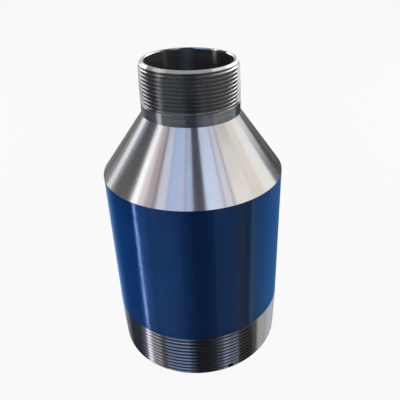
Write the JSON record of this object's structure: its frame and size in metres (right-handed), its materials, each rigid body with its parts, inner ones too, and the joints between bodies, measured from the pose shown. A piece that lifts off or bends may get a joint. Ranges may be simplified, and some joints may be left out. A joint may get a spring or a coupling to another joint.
{
  "type": "swage nipple",
  "caption": "Concentric pipe reducer turned from one length of steel: large threaded end, painted body, bare cone and small threaded neck, bored through.",
  "frame": {"origin": "middle of the large end's face, on the bore's axis", "axes": "+Z along the bore, from the large end up to the small end; X and Y are alike, because the part is turned"},
  "size_m": [0.1142, 0.1142, 0.2032],
  "materials": {
    "turned_steel": "bright turned steel with a fine lathe grain, darker in the threads and the bore",
    "blue_paint": "glossy blue paint on the straight body, a thin coat on the same solid"
  },
  "bodies": {
    "root": {"swage_nipple": "turned_steel"}
  },
  "joints": []
}
